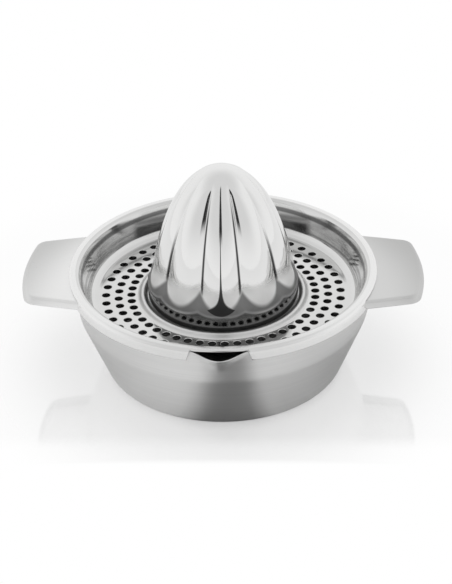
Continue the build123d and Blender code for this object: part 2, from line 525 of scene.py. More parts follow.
@dataclass(frozen=True)
class HandleSteel(SatinSteel):
    """Satin steel of a handle, with a fine even grain, and a painted sheen that makes it paler towards the
    bowl and the front.
    """

    roughness: float = 0.3
    anisotropy: float = 0.0
    broad_share: float = 0.0
    along: float = 900.0
    around: float = 900.0
    grain_tone: float = 0.10
    front_lean: float = 0.35
    painted_sheen_reach: Span = (0.070, 0.102)

    def tone(self, steel: SteelPlaces, streak: Wire) -> Wire:
        """Colour of the steel, a painted sheen from pale at the root's front to darker at the end's back."""
        share = (steel.radius + steel.y * self.front_lean).fall(*self.painted_sheen_reach)
        share = share + (streak - NOISE_MIDDLE) * self.grain_tone
        return steel.graph.mix(share, self.shadow_tone, self.light_tone)


@dataclass(frozen=True)
class RimSteel(SatinSteel):
    """Smooth satin steel of the dish's rim, with painted shade that makes it a little darker towards the
    spout.
    """

    shadow_tone: Tone = steel_tone(0.84)
    light_tone: Tone = steel_tone(0.95)
    roughness: float = 0.16
    front_end: Span = (14.0, 50.0)
    front_painted_shade: float = 0.12

    def tone(self, steel: SteelPlaces, streak: Wire) -> Wire:
        """Colour of the steel, darkened by painted shade whose share fades away from the spout."""
        share = abs(steel.angle).fall(*np.radians(self.front_end), self.front_painted_shade)
        return steel.graph.mix(share, super().tone(steel, streak), BLACK)


@dataclass(frozen=True)
class PolishedSteel:
    """Mirror polished steel with faint buffing rings, wiping marks, and painted dark places of each piece's
    own, painted reflection and shade.
    """

    name: str
    shadow_tone: Tone = steel_tone(0.72)
    light_tone: Tone = steel_tone(0.80)
    roughness: float = 0.055
    ring_roughness: float = 0.035
    ring_along: float = 1400.0
    ring_around: float = 25.0
    ring_height: float = 0.00001
    ring_strength: float = 0.06
    wipe_roughness: float = 0.05
    wipe_scale: float = 60.0
    wipe_level: Span = (0.5, 0.8)
    painted_dark_tone: Tone = grey(0.22)
    roughness_in_painted_dark: float = 0.06

    def material(self) -> bpy.types.Material:
        """Build the material."""
        made = bpy.data.materials.new(self.name)
        graph = Graph(made)
        steel = SteelPlaces.of(graph, self.ring_along, self.ring_around)
        rings = graph.noise(steel.streak_place)
        wipes = graph.noise(steel.place, self.wipe_scale, detail=4.0)
        # Painted shade and painted dark reflection: this share darkens the colour towards the dark tone and
        # adds roughness there.
        painted_dark = self.painted_darkening(steel)
        rough = self.roughness + (rings - NOISE_MIDDLE) * self.ring_roughness + painted_dark * self.roughness_in_painted_dark
        rough = rough + self.wear(steel, wipes)
        tone = graph.mix(painted_dark, self.tone(steel, wipes), self.painted_dark_tone)
        bump = graph.node("Bump", None, Strength=self.ring_strength, Distance=self.ring_height, Height=rings)
        shader = graph.node(
            "BsdfPrincipled", None, Base_Color=tone, Metallic=1.0, Roughness=rough, Normal=graph.out(bump),
        )
        graph.node("OutputMaterial", None, Surface=graph.out(shader))
        return made

    def painted_darkening(self, steel: SteelPlaces) -> Wire:
        """Share of painted dark reflection and painted shade over the surface, which each piece's finish
        works out.
        """
        raise NotImplementedError

    def wear(self, steel: SteelPlaces, wipes: Wire) -> Wire:
        """Roughness added by wear: the wiping marks."""
        return wipes.ramp(*self.wipe_level) * self.wipe_roughness

    def tone(self, steel: SteelPlaces, wipes: Wire) -> Wire:
        """Colour of the clean steel, a little darker in the wiping marks."""
        return steel.graph.mix(wipes, self.light_tone, self.shadow_tone)


@dataclass(frozen=True)
class DishSteel(PolishedSteel):
    """Polished steel of the dish, whose wall has painted dark reflections, a band and streaks, at the sides
    and the back.
    """

    roughness: float = 0.09
    upper_band: Span = (0.0472, 0.0494)
    upper_share: float = 0.95
    lower_band: Span = (0.0396, 0.0436)
    lower_share: float = 0.75
    band_edge: float = 0.0005
    streak_scale: float = 0.35
    streak_level: Span = (0.35, 0.60)
    back_start: Span = (55.0, 85.0)
    bead_edge: Span = (0.0415, 0.0425)
    bead_roughness: float = 0.25

    def painted_darkening(self, steel: SteelPlaces) -> Wire:
        """Share of painted dark reflection: a dark band high on the wall and a streaked one low on it, none
        at the front.
        """
        back = abs(steel.angle).ramp(*np.radians(self.back_start))
        streaks = steel.graph.noise(steel.streak_place, self.streak_scale).ramp(*self.streak_level)
        # Both bands are painted dark reflections on the mirror wall.
        upper = self.band(steel.height, self.upper_band) * self.upper_share
        lower = self.band(steel.height, self.lower_band) * streaks * self.lower_share
        return (upper + lower) * back

    def wear(self, steel: SteelPlaces, wipes: Wire) -> Wire:
        """Roughness added by wear: the wiping marks, and a satin bead round the cone's foot."""
        bead = steel.radius.fall(*self.bead_edge, self.bead_roughness)
        return super().wear(steel, wipes) + bead

    def band(self, height: Wire, ends: Span) -> Wire:
        """1 between two heights and 0 beyond them, with soft edges."""
        low, high = ends
        inside = height.ramp(low - self.band_edge, low + self.band_edge)
        return inside * height.fall(high - self.band_edge, high + self.band_edge)


@dataclass(frozen=True)
class ReamerSteel(PolishedSteel):
    """Polished steel of the cone, with painted shade and painted dark reflections in the grooves, on the
    front lobe and round the foot.
    """

    lobes: int = 10
    painted_dark_tone: Tone = grey(0.07)
    shadow_tone: Tone = steel_tone(0.84)
    light_tone: Tone = steel_tone(0.90)
    groove_edge: Span = (0.87, 0.95)
    groove_foot: Span = (0.052, 0.058)
    groove_fade: Span = (0.066, 0.084)
    front_end: Span = (25.0, 35.0)
    front_line: float = 16.2
    front_line_edge: Span = (0.5, 1.7)
    front_line_top: Span = (0.086, 0.102)
    crest_line: float = 0.005
    crest_flare: float = 3.0e-7
    crest_power: float = -2.5
    crest_foot: float = 0.044
    crest_least: float = 0.001
    crest_edge: Span = (0.75, 1.25)
    crest_top: Span = (0.080, 0.092)
    crest_start: Span = (-0.0028, -0.0018)
    crest_end: Span = (15.0, 20.0)
    foot_share: float = 0.88
    foot_line: float = 0.0448
    foot_wave: float = 0.0024
    foot_blur: float = 0.0004
    fillet_line: float = 0.0476
    fillet_wave: float = 0.0085
    fillet_blur: float = 0.0016
    fillet_share: float = 0.72
    satin_heights: Span = (0.051, 0.062)
    satin_roughness: float = 0.60
    # Painted sheen: the satin zone's colour is lifted to near white.
    satin_painted_sheen_tone: Tone = steel_tone(1.0)
    ring_heights: Span = (0.0440, 0.0465)

    def painted_darkening(self, steel: SteelPlaces) -> Wire:
        """Share of painted darkening: the largest of those in the grooves, on the front lobe and below two
        wavy lines.

        The grooves are painted dark in their lower half, as painted shade and dark reflection in the creases.
        The front lobe has a line along each side instead, up to the tip, and one along its crest, which are
        painted dark reflections. The crest's line is line + flare * (h - foot)^power wide at the height h, so
        it widens into a painted dark reflection at the foot. The wavy lines follow the foot and the fillet
        over it;
        below them the ring and the fillet are painted with shade and dark reflection.
        """
        height, aside = steel.height, abs(steel.angle)
        turn = steel.graph.math("PINGPONG", steel.angle, np.pi / self.lobes) * (self.lobes / np.pi)
        # Below the wavy lines of the foot and the fillet: painted shade and dark reflection.
        over_foot = height - turn * turn * self.foot_wave - self.foot_line
        over_fillet = height - turn * turn * self.fillet_wave - self.fillet_line
        foot = over_foot.fall(-self.foot_blur, self.foot_blur, self.foot_share)
        fillet = over_fillet.fall(-self.fillet_blur, self.fillet_blur, self.fillet_share)
        above_foot = height.ramp(*self.groove_foot)
        # Grooves: painted shade and dark reflection in the creases, fading out towards the tip.
        groove = turn.ramp(*self.groove_edge) * above_foot * height.fall(*self.groove_fade)
        groove = groove * aside.ramp(*np.radians(self.front_end))
        # Lines along the front lobe's sides and crest: painted dark reflections.
        from_line = abs(aside - np.radians(self.front_line))
        line = from_line.fall(*np.radians(self.front_line_edge))
        line = line * above_foot * height.fall(*self.front_line_top)
        over_base = (height - self.crest_foot).most(self.crest_least)
        crest_width = self.crest_line + self.crest_flare * over_base ** self.crest_power
        crest = (aside / crest_width).fall(*self.crest_edge) * height.fall(*self.crest_top)
        crest = crest * over_fillet.ramp(*self.crest_start)
        crest = crest * aside.fall(*np.radians(self.crest_end))
        return groove.most(line, crest, foot, fillet)

    def wear(self, steel: SteelPlaces, wipes: Wire) -> Wire:
        """Roughness added by wear: the wiping marks, and a satin zone low on the lobes."""
        return super().wear(steel, wipes) + self.satin(steel) * self.satin_roughness

    def tone(self, steel: SteelPlaces, wipes: Wire) -> Wire:
        """Colour of the clean steel, painted paler in the satin zone as a painted sheen."""
        return steel.graph.mix(self.satin(steel), super().tone(steel, wipes), self.satin_painted_sheen_tone)

    def satin(self, steel: SteelPlaces) -> Wire:
        """1 in the satin zone low on the lobes, 0 above it and on the plain ring below it."""
        return steel.height.fall(*self.satin_heights) * steel.height.ramp(*self.ring_heights)


@dataclass(frozen=True)
class JuiceBowl:
    """Bowl drawn from one sheet, with a crease, a rounded rim and a spout pressed out of its front."""

    sheet: float = 0.8
    base_radius: float = 58.2
    base_bend: float = 4.5
    crease_radius: float = 70.6
    crease_height: float = 32.4
    crease_bend: float = 12.0
    rim_radius: float = 72.9
    spout_half_width: float = 14.0
    spout_foot_share: float = 0.2
    spout_reach: float = 5.0
    spout_power: float = 1.25
    spout_depth: float = 12.0
    spout_drop: float = 2.8
    lip_half_width: float = 24.0
    lip_depth: float = 9.0
    columns: int = 420
    front_crowding: float = 0.5

    @property
    def rim_height(self) -> float:
        """Level of the rim."""
        return frame_heights("juice_bowl")[1]

    def line(self) -> SheetLine:
        """Outside of the bowl from the middle of its base to its rim."""
        corners = [(0.0, 0.0), (self.base_radius, 0.0), (self.crease_radius, self.crease_height),
                   (self.rim_radius, self.rim_height)]
        return SheetLine.bent(corners, [self.base_bend, self.crease_bend], spacing=1.6)

    def wall(self, height: Array) -> Array:
        """Outer radius of the upper wall at a height."""
        rise = (height - self.crease_height) / (self.rim_height - self.crease_height)
        return self.crease_radius + rise * (self.rim_radius - self.crease_radius)

    def spouted(self, radius: Array, angle: Array, height: Array) -> tuple[Array, Array]:
        """Push the front of the wall out into the spout and lower its lip.

        The push is reach * u^power * cos^2(pi b / 2), with u the share of the spout's depth and b the
        sideways distance as a share of the spout's half width there. The lip drops by a wider cos^2.

        Args:
            radius: radii of the plain bowl's points.
            angle: their angles.
            height: their heights.

        Returns:
            The new radii and heights.
        """
        front = np.cos(angle) > 0.0
        sideways = np.abs(radius * np.sin(angle))
        rise = np.clip(1.0 - (self.rim_height - height) / self.spout_depth, 0.0, 1.0)
        half_width = self.spout_half_width * (self.spout_foot_share + (1.0 - self.spout_foot_share) * rise)
        bulge = np.cos(np.pi / 2 * np.clip(sideways / half_width, 0.0, 1.0)) ** 2
        lip = np.cos(np.pi / 2 * np.clip(sideways / self.lip_half_width, 0.0, 1.0)) ** 2
        near_rim = ease(height, self.rim_height - self.lip_depth, self.rim_height)
        pushed = radius + np.where(front, self.spout_reach * rise**self.spout_power * bulge, 0.0)
        return pushed, height - np.where(front, self.spout_drop * lip * near_rim, 0.0)

    def build(self, outside: SatinSteel, inside: SatinSteel) -> bpy.types.Object:
        """Build the bowl: its outside from the axis to the rim, round the rim and back along the inside."""
        radius, height = self.line().folded(0.0, self.sheet)
        rows = len(radius)
        share = np.linspace(-1.0, 1.0, self.columns, endpoint=False)
        angle = np.pi * ((1.0 - self.front_crowding) * share + self.front_crowding * share**3)
        radius, height = self.spouted(radius[:, None], angle[None], height[:, None])
        finish = (np.arange(rows - 1) >= (rows + EDGE_POINTS) // 2).astype(int)
        return Piece("juice_bowl_steel", Body.BOWL, "juice_bowl", Slot.SATIN).make(
            [Net(polar(radius, angle[None], height), finish=finish)], [outside.material(), inside.material()]
        )


@dataclass(frozen=True)
class Handle:
    """Flat wing bent from one sheet, with leaning turned-down edges and its root against the bowl's wall."""

    side: Side
    bowl: JuiceBowl
    sheet: float = 1.0
    lean: float = 25.0
    end_radius: float = 97.2
    root_half_width: float = 33.0
    end_half_width: float = 27.4
    corner_bend: float = 7.0
    edge_bend: float = 2.2
    flat_inset: float = 4.5
    spine_share: float = 0.7
    root_fade: float = 25.0
    weld_gap: float = 0.1
    side_steps: int = 25
    corner_steps: int = 12
    end_steps: int = 15
    flat_rows: int = 7

    @property
    def node(self) -> str:
        """Name of the CAD node."""
        return f"{self.side.name.lower()}_handle"

    def outline(self) -> tuple[Array, Array]:
        """Lower edge seen from above, from the root's front over the end to the root's back.

        Straight sides taper from the root to the end, the end is an arc about the juicer's axis, and
        each corner is an arc that touches both.

        Returns:
            Points of the edge, and the unit direction inwards at each.
        """
        root = np.sqrt(self.bowl.rim_radius**2 - self.root_half_width**2)
        end = np.sqrt(self.end_radius**2 - self.end_half_width**2)
        taper = (self.root_half_width - self.end_half_width) / (end - root)
        slant = np.hypot(1.0, taper)
        inner_axis = self.root_half_width + taper * root - self.corner_bend * slant
        reach = self.end_radius - self.corner_bend
        middle_x = (inner_axis * taper + np.sqrt((reach * slant) ** 2 - inner_axis**2)) / slant**2
        middle = np.array([middle_x, inner_axis - taper * middle_x])
        side_turn = np.arctan2(1.0, taper)
        end_turn = np.arctan2(middle[1], middle[0])
        corner_out = unit(np.linspace(side_turn, end_turn, self.corner_steps + 1))
        corner = middle + self.corner_bend * corner_out
        run = np.linspace(0.0, 1.0, self.side_steps, endpoint=False)[:, None]
        start = np.array([root, self.root_half_width])
        straight = start + (corner[0] - start) * run
        straight_out = np.repeat(corner_out[:1], len(run), axis=0)
        arc_out = unit(np.linspace(end_turn, 0.0, self.end_steps + 1)[1:])
        half = np.concatenate([straight, corner, self.end_radius * arc_out])
        half_out = np.concatenate([straight_out, corner_out, arc_out])
        flip = np.array([1.0, -1.0])
        edge, edge_out = (np.concatenate([part * flip, part[-2::-1]]) for part in (half, half_out))
        return edge, -edge_out

    def build(self, finish: SatinSteel) -> bpy.types.Object:
        """Build the wing from its spine underneath, round its lower edge and back to its spine on top.

        Each row lies at one inset and level of the bent edge. Past the bend the rows run flat to a spine
        on the middle line. The root is then slid along X until it lies on the bowl's round wall.
        """
        bottom, top = frame_heights(self.node)
        lean_in = (top - bottom) * np.tan(np.radians(self.lean))
        corners = [(0.0, bottom), (lean_in, top), (self.flat_inset, top)]
        edge = SheetLine.bent(corners, [self.edge_bend], spacing=0.8)
        half = self.sheet / 2
        turn = half_turn()
        face = edge.stops(half, edge.length[-1])
        length = np.concatenate([face[::-1], half * (1 - np.sin(turn)), face])
        depth = -np.concatenate([0 * face + self.sheet, half * (1 + np.cos(turn)), 0 * face])
        inset, level = edge.at(length, depth)
        place, inward = self.outline()
        rows = place[None] + inward[None] * inset[:, None, None]
        root = place[0, 0]
        flat = place + inward * self.flat_inset
        spine = np.stack([root + self.spine_share * (flat[:, 0] - root), 0 * flat[:, 0]], axis=1)
        share = np.linspace(1.0, 0.0, self.flat_rows, endpoint=False)[:, None, None]
        inner_flat = flat + (spine - flat) * share
        rows = np.concatenate([inner_flat, rows, inner_flat[::-1]])
        level = np.concatenate([np.full(len(share), top - self.sheet), level, np.full(len(share), top)])
        wall = self.bowl.wall(level)[:, None] + self.weld_gap
        wall_x = np.sqrt(wall**2 - rows[..., 1] ** 2)
        near_root = 1.0 - np.clip((rows[..., 0] - root) / self.root_fade, 0.0, 1.0)
        x = rows[..., 0] + (wall_x - root) * near_root
        z = np.broadcast_to(level[:, None], x.shape)
        points = np.stack([x * self.side.value, rows[..., 1], z], axis=-1)
        pairs = len(points) // 2 + 1
        caps = [
            Net(np.stack([points[:pairs, end], points[::-1][:pairs, end]], axis=1), ring=False)
            for end in (0, -1)
        ]
        return Piece(self.node + "_steel", Body.BOWL, self.node, Slot.SATIN).make(
            [Net(points, ring=False), *caps], [finish.material()]
        )


@dataclass(frozen=True)
class StrainerDish:
    """Dish drawn from one sheet: skirt over the bowl's rim, flange, wall, drilled floor and collar."""

    sheet: float = 0.8
    skirt_radius: float = 74.95
    skirt_drop: float = 5.7
    skirt_bend: float = 2.0
    lip_radius: float = 69.8
    lip_bend: float = 2.0
    floor_radius: float = 64.9
    floor_bend: float = 4.5
    floor_depth: float = 15.8
    bead_radius: float = 39.3
    bead_half_width: float = 2.0
    bead_rise: float = 3.4
    bead_bends: tuple[float, float, float] = (2.0, 1.2, 1.0)
    collar_radius: float = 35.4
    collar_bend: float = 1.0
    collar_height: float = 2.0
    hole_radius: float = 2.0
    hole_edge: float = 0.22
    floor_start: float = 42.6
    first_ring: float = 45.0
    ring_pitch: float = 6.2
    rings: int = 3
    holes_per_ring: int = 48
    hole_phase: float = 0.29
    cell_steps: int = 8
    cell_rise_steps: int = 6
    cell_shares: tuple[float, ...] = (0.0, 0.9, 1.0)
    hole_edge_steps: int = 3
    spout_notch: Span = (10.2, 11.3)
    handle_notch: Span = (63.0, 64.3)
    handle_notch_lean: float = 1.6
    handle_notch_top: float = 51.4
    flange_edge: float = 74.4
    satin_radius: float = 71.0
    notch_columns: tuple[int, int] = (3, 8)
    notch_margin: float = 0.15
    hinge_margin: float = 0.6
    skirt_rows: int = 14
    slide_run: float = 6.0
    lean_width: float = 3.0
    collar_edge_points: int = 5

    @property
    def top(self) -> float:
        """Level of the flange."""
        return frame_heights("strainer_dish")[1]

    @property
    def floor_top(self) -> float:
        """Level of the drilled floor."""
        return self.top - self.floor_depth

    @property
    def columns(self) -> int:
        """Columns round the dish."""
        return self.holes_per_ring * self.cell_steps

    def line(self) -> SheetLine:
        """Upper face from the skirt's lower edge over the flange and the floor to the collar's top."""
        floor, crest = self.floor_top, self.floor_top + self.bead_rise
        corners = [
            (self.skirt_radius, self.top - self.skirt_drop), (self.skirt_radius, self.top),
            (self.lip_radius, self.top), (self.floor_radius, floor),
            (self.bead_radius + self.bead_half_width, floor), (self.bead_radius, crest),
            (self.bead_radius - self.bead_half_width, floor),
            (self.collar_radius, floor), (self.collar_radius, floor + self.collar_height),
        ]
        bends = [self.skirt_bend, self.lip_bend, self.floor_bend, *self.bead_bends, self.collar_bend]
        return SheetLine.bent(corners, bends, spacing=3.0, step=0.17)

    def angles(self) -> tuple[Array, Array]:
        """Even angles of the columns, and the same slid so that columns crowd at the skirt's notches.

        Returns:
            Both sets of angles in radians, from -pi to pi.
        """
        step = 2 * np.pi / self.columns
        even = step * (np.arange(self.columns) + self.hole_phase * self.cell_steps % 1.0) - np.pi
        low, high = np.radians(self.spout_notch)
        near, far = np.radians(self.handle_notch)
        edges = [(low, high), (near, far), (np.pi - far, np.pi - near)]
        mirrored = [(-end, -start) for start, end in edges]
        inner, outer = (count * step for count in self.notch_columns)
        margin = self.notch_margin * step
        anchors, targets = [-np.pi], [-np.pi]
        for start, end in sorted(mirrored + edges):
            nearest = even[np.abs(even - (start + end) / 2).argmin()]
            anchors += [nearest - outer, nearest - inner, nearest + inner, nearest + outer]
            targets += [nearest - outer, start - margin, end + margin, nearest + outer]
        return even, np.interp(even, anchors + [np.pi], targets + [np.pi])

    def trimmed(self, angle: Array, line: SheetLine) -> Array:
        """Length that the notches take off the skirt's end at each angle.

        Args:
            angle: angles in radians.
            line: the dish's line, which starts at the skirt's lower edge.

        Returns:
            Lengths along the line where the sheet starts.
        """
        bend = (line.place[:, 0] > self.skirt_radius - self.skirt_bend) & (line.length < 2 * self.skirt_drop)
        handle_cut = np.interp(self.handle_notch_top, line.place[bend, 1], line.length[bend])
        spout_cut = np.interp(-self.flange_edge, -line.place[bend, 0], line.length[bend])
        around = np.degrees(np.abs(angle))
        near, far = self.handle_notch
        marks = [0.0, *self.spout_notch, near, far, 180.0 - far, 180.0 - near, 180.0]
        cuts = [spout_cut, spout_cut, 0.0, 0.0, handle_cut, handle_cut, 0.0, 0.0]
        return np.interp(around, marks, cuts)

    def rim_net(self, line: SheetLine, outer_ring: float) -> Net:
        """Floor's outer border, wall, flange and skirt, round the skirt's edge and back underneath.

        Args:
            line: the dish's line.
            outer_ring: radius where the drilled floor ends.

        Returns:
            The net, satin outside the lip and polished inside it.
        """
        even, crowded = self.angles()
        half = self.sheet / 2
        floor_run = np.isclose(line.place[:, 1], self.floor_top)
        border = np.interp(-outer_ring, -line.place[floor_run, 0], line.length[floor_run])
        hinge = line.length[line.place[:, 0] >= self.satin_radius + self.hinge_margin].max()
        start = self.trimmed(crowded, line)
        fixed = line.stops(hinge, border)[::-1]
        share = np.linspace(1.0, 0.0, self.skirt_rows + 1)[1:, None]
        moving = start + half + (hinge - start - half) * share
        turn = half_turn()[:, None]
        length = np.concatenate([np.repeat(fixed[:, None], self.columns, 1), moving,
                                 start + half * (1 - np.sin(turn)), moving[::-1],
                                 np.repeat(fixed[::-1, None], self.columns, 1)])
        depth = np.concatenate([0 * fixed, 0 * share[:, 0], half * (1 - np.cos(turn[:, 0])),
                                0 * share[:, 0] + self.sheet, 0 * fixed + self.sheet])
        radius, height = line.at(length, depth[:, None])
        slide = ease(length, border - self.slide_run, hinge)
        lean = np.radians(self.handle_notch_lean) * (1.0 - length / self.skirt_drop) * (length < hinge)
        notch = np.radians(sum(self.handle_notch) / 2)
        offset = np.abs(crowded) - np.where(np.abs(crowded) < np.pi / 2, notch, np.pi - notch)
        towards = np.sign(crowded) * np.where(np.abs(crowded) < np.pi / 2, 1.0, -1.0)
        leaning = lean * np.exp(-((offset / np.radians(self.lean_width)) ** 2)) * towards
        angle = even + (crowded - even) * slide + leaning * slide
        satin = (radius[:-1, 0] > self.satin_radius).astype(int)
        return Net(polar(radius, angle, height), finish=satin)

    def collar_net(self, line: SheetLine, inner_ring: float) -> Net:
        """Floor's inner border and collar, round the collar's edge and back underneath."""
        floor_run = np.isclose(line.place[:, 1], self.floor_top)
        border = np.interp(-inner_ring, -line.place[floor_run, 0], line.length[floor_run])
        radius, height = line.folded(border, self.sheet, self.collar_edge_points)
        return Net(polar(radius[:, None], self.angles()[0][None], height[:, None]))

    def hole_nets(self) -> list[Net]:
        """Drilled cells of the floor: from a cell's border to its hole, down the hole and back underneath.

        A point of a row lies between the border's point and the point of the hole's circle in the same
        direction. Every second ring is turned by half a pitch.

        Returns:
            One net for each cell.
        """
        steps, rises = self.cell_steps, self.cell_rise_steps
        run = np.arange(steps) / steps - 0.5
        climb = np.arange(rises) / rises - 0.5
        across = np.concatenate([run, 0 * climb + 0.5, -run, 0 * climb - 0.5])
        up = np.concatenate([0 * run - 0.5, climb, 0 * run + 0.5, -climb])
        step = 2 * np.pi / self.holes_per_ring
        ring = np.arange(self.rings)[:, None, None]
        hole = np.arange(self.holes_per_ring)[None, :, None]
        middle = self.first_ring + ring * self.ring_pitch
        turn = step * (hole + self.hole_phase + 0.5 * (ring % 2))
        inner = np.where(ring == 0, self.floor_start, middle - self.ring_pitch / 2)
        away = middle + up * np.where(up < 0.0, 2 * (middle - inner), self.ring_pitch)
        side = away * np.sin(across * step)
        rise = away * np.cos(across * step) - middle
        way = np.arctan2(rise, side)
        bend = np.linspace(0.0, np.pi / 2, self.hole_edge_steps + 1)
        floor_under = self.floor_top - self.sheet
        under_edge = self.hole_edge / 2
        share = np.array(self.cell_shares)
        closeness = np.concatenate([share, np.ones(len(bend)), share[::-1]])
        size = self.hole_radius + np.concatenate([
            0 * share + self.hole_edge, self.hole_edge * (1 - np.sin(bend[1:])), [0.0], 0 * share + under_edge
        ])
        level = np.concatenate([
            0 * share + self.floor_top, self.floor_top - self.hole_edge * (1 - np.cos(bend[1:])),
            [floor_under + under_edge], 0 * share + floor_under,
        ])
        side, rise, way = (part[:, :, None] for part in (side, rise, way))
        close = closeness[:, None]
        local_side = side * (1 - close) + size[:, None] * np.cos(way) * close
        local_rise = rise * (1 - close) + size[:, None] * np.sin(way) * close
        middle, turn = middle[..., None], turn[..., None]
        x = (middle + local_rise) * np.sin(turn) + local_side * np.cos(turn)
        y = -(middle + local_rise) * np.cos(turn) + local_side * np.sin(turn)
        points = np.stack([x, y, np.broadcast_to(level[:, None], x.shape)], axis=-1)
        return [Net(cell) for cell in points.reshape(-1, *points.shape[2:])]

    def build(self, polished: PolishedSteel, satin: SatinSteel) -> bpy.types.Object:
        """Build the dish from its rim, its collar and the cells of its floor."""
        line = self.line()
        outer_ring = self.first_ring + (self.rings - 0.5) * self.ring_pitch
        nets = [self.rim_net(line, outer_ring), self.collar_net(line, self.floor_start), *self.hole_nets()]
        return Piece("strainer_dish_steel", Body.STRAINER, "strainer_dish", Slot.POLISHED).make(
            nets, [polished.material(), satin.material()]
        )


@dataclass(frozen=True)
class ReamerCone:
    """Hollow pressed cone with round lobes that meet in creases, and a plain ring at its foot."""

    sheet: float = 1.0
    base_radius: float = 36.6
    lobes: int = 10
    fullness: float = 1.53
    rounding: float = 0.47
    lobe_centre: float = 0.60
    groove_rounding: float = 0.5
    groove_start: float = 0.13
    groove_full: float = 0.27
    groove_fade: float = 0.88
    groove_end: float = 0.99
    ring_top: float = 7.66
    ring_wave: float = 2.4
    ring_edge: float = 0.7
    columns_per_lobe: int = 56
    groove_crowding: float = 0.35
    ring_share: float = 0.09
    ring_rows: int = 5
    blend_rows: int = 40
    lobe_rows: int = 70
    inner_rows: tuple[int, int] = (10, 20)
    tip_crowding: float = 1.7

    def radius(self, angle: Array, share: Array, rise: Array, base: float) -> Array:
        """Radius of the cone's face.

        The crest is base * (1 - s^fullness)^rounding at share s of the height. A lobe is round about a point
        at share c of the crest's radius, so at the angle a from the crest its radius is
        c cos(a) + sqrt((1 - c)^2 - (c sin(a))^2) of it. A groove's bottom is rounded by taking
        sqrt(d^2 + e^2) for the angle d from it. Below a wavy line the plain ring at the foot takes over.

        Args:
            angle: angles from the spout, where a crest lies.
            share: shares of the height.
            rise: heights above the foot.
            base: radius at the foot.

        Returns:
            Radii.
        """
        half = np.pi / self.lobes
        soft = np.radians(self.groove_rounding)
        from_groove = half - np.abs((angle + half) % (2 * half) - half)
        turn = np.hypot(half, soft) - np.hypot(from_groove, soft)
        centre = self.lobe_centre
        round_lobe = centre * np.cos(turn) + np.sqrt((1.0 - centre) ** 2 - (centre * np.sin(turn)) ** 2)
        depth = ease(share, self.groove_start, self.groove_full)
        depth = depth * (1.0 - ease(share, self.groove_fade, self.groove_end))
        lobe = 1.0 - depth * (1.0 - round_lobe)
        crest = base * np.clip(1.0 - share**self.fullness, 0.0, 1.0) ** self.rounding
        line = self.ring_top + self.ring_wave * (turn / half) ** 2
        above = ease((rise - line) / self.ring_edge, -1.0, 1.0)
        return base + (crest * lobe - base) * above

    def angles(self) -> Array:
        """Angles of the columns, close together at the grooves."""
        part = np.linspace(-1.0, 1.0, self.columns_per_lobe, endpoint=False)
        within = (1.0 + self.groove_crowding) * part - self.groove_crowding * part**3
        return (2.0 * np.arange(self.lobes)[:, None] + within).ravel() * np.pi / self.lobes

    def to_tip(self, rows: int) -> Array:
        """Shares of the height from the full grooves to the tip, close together at the tip."""
        return 1.0 - (1.0 - self.groove_full) * np.linspace(1.0, 0.0, rows)[1:] ** self.tip_crowding

    def build(self, finish: PolishedSteel) -> bpy.types.Object:
        """Build the cone from its tip inside down to its foot and up again outside."""
        foot, tip = frame_heights("reamer_cone")
        height = tip - foot
        half = self.sheet / 2
        angle = self.angles()
        low = half / height
        ring = np.linspace(low, self.ring_share, self.ring_rows)
        blend = np.linspace(self.ring_share, self.groove_full, self.blend_rows)[1:]
        outer_share = np.concatenate([ring, blend, self.to_tip(self.lobe_rows)])[:, None]
        low_rows, high_rows = self.inner_rows
        inner_low = np.linspace(low, self.groove_full, low_rows)
        inner_share = np.concatenate([inner_low, self.to_tip(high_rows)])[:, None]
        outer_rise = outer_share * height
        inner_rise = inner_share * (height - self.sheet)
        outer = self.radius(angle[None], outer_share, outer_rise, self.base_radius)
        inner = self.radius(angle[None], inner_share, inner_rise, self.base_radius - self.sheet)
        turn = half_turn()[::-1, None]
        edge = self.base_radius - half + half * np.cos(turn)
        radius = np.concatenate([inner[::-1], np.repeat(edge, len(angle), 1), outer])
        rise = np.concatenate([inner_rise[::-1], half * (1 - np.sin(turn)), outer_rise])
        return Piece("reamer_cone_steel", Body.STRAINER, "reamer_cone", Slot.POLISHED).make(
            [Net(polar(radius, angle[None], foot + rise))], [finish.material()]
        )


@dataclass(frozen=True)
class Softbox:
    """Flat studio lamp that faces the juicer.

    Fields:
        name: name of the lamp.
        azimuth: degrees from the front towards +X.
        elevation: degrees above the table.
        distance: metres from the juicer's middle.
        width: metres across.
        height: metres tall.
        glow: brightness of its face, where 1 is white.
    """

    name: str
    azimuth: float
    elevation: float
    distance: float
    width: float
    height: float
    glow: float

    def build(self, aim: Vector) -> bpy.types.Object:
        """Place the lamp; its power is pi * area * glow.

        Args:
            aim: the point that it faces.

        Returns:
            The lamp's object.
        """
        lamp = bpy.data.lights.new(self.name, "AREA")
        lamp.shape = "RECTANGLE"
        lamp.size, lamp.size_y = self.width, self.height
        lamp.energy = float(np.pi * self.width * self.height * self.glow)
        way = direction(self.azimuth, self.elevation)
        made = bpy.data.objects.new(self.name, lamp)
        made.location = aim + way * self.distance
        made.rotation_euler = way.to_track_quat("Z", "Y").to_euler()
        made.visible_camera = False
        made.visible_glossy = False
        bpy.context.scene.collection.objects.link(made)
        return made


